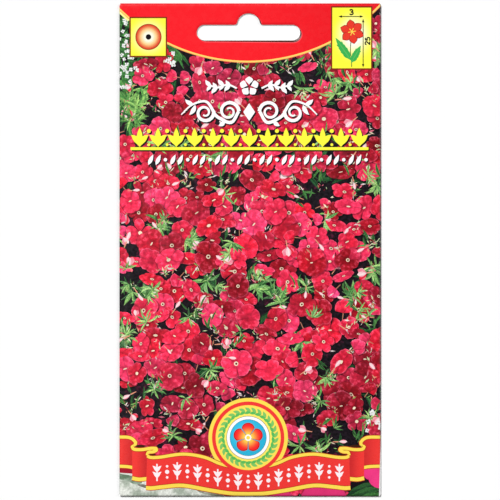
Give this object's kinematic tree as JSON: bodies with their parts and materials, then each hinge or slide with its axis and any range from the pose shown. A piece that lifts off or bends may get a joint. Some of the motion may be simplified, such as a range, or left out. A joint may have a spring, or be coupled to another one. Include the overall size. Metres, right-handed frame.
{
  "type": "seed packet",
  "caption": "Flat folded-paper seed packet with a hang slot through its header, glued end flaps, a side seam and loose seeds inside.",
  "frame": {"origin": "middle of the packet's back, on the surface that it lies on", "axes": "+X to the right across the front, +Y up the packet towards the hang slot, +Z out of the front"},
  "size_m": [0.08, 0.151, 0.0029],
  "materials": {
    "printed_paper": "coated paper with a soft gloss, printed on its outer side, white and matt inside",
    "glue": "thin dried adhesive, pale and dull",
    "seed": "dull brown seed coat with fine wrinkles"
  },
  "bodies": {
    "root": {"packet_sheet": "printed_paper", "glue_side_seam": "glue", "glue_bottom_flap": "glue", "glue_top_flap": "glue", "glue_header_seal": "glue", "seed_01": "seed", "seed_02": "seed", "seed_03": "seed", "seed_04": "seed", "seed_05": "seed", "seed_06": "seed", "seed_07": "seed", "seed_08": "seed", "seed_09": "seed", "seed_10": "seed", "seed_11": "seed", "seed_12": "seed", "seed_13": "seed", "seed_14": "seed", "seed_15": "seed", "seed_16": "seed", "seed_17": "seed", "seed_18": "seed", "seed_19": "seed", "seed_20": "seed", "seed_21": "seed", "seed_22": "seed", "seed_23": "seed", "seed_24": "seed", "seed_25": "seed", "seed_26": "seed", "seed_27": "seed", "seed_28": "seed", "seed_29": "seed", "seed_30": "seed", "seed_31": "seed", "seed_32": "seed", "seed_33": "seed", "seed_34": "seed", "seed_35": "seed", "seed_36": "seed", "seed_37": "seed", "seed_38": "seed", "seed_39": "seed", "seed_40": "seed", "seed_41": "seed", "seed_42": "seed", "seed_43": "seed", "seed_44": "seed", "seed_45": "seed", "seed_46": "seed", "seed_47": "seed", "seed_48": "seed", "seed_49": "seed", "seed_50": "seed"}
  },
  "joints": []
}
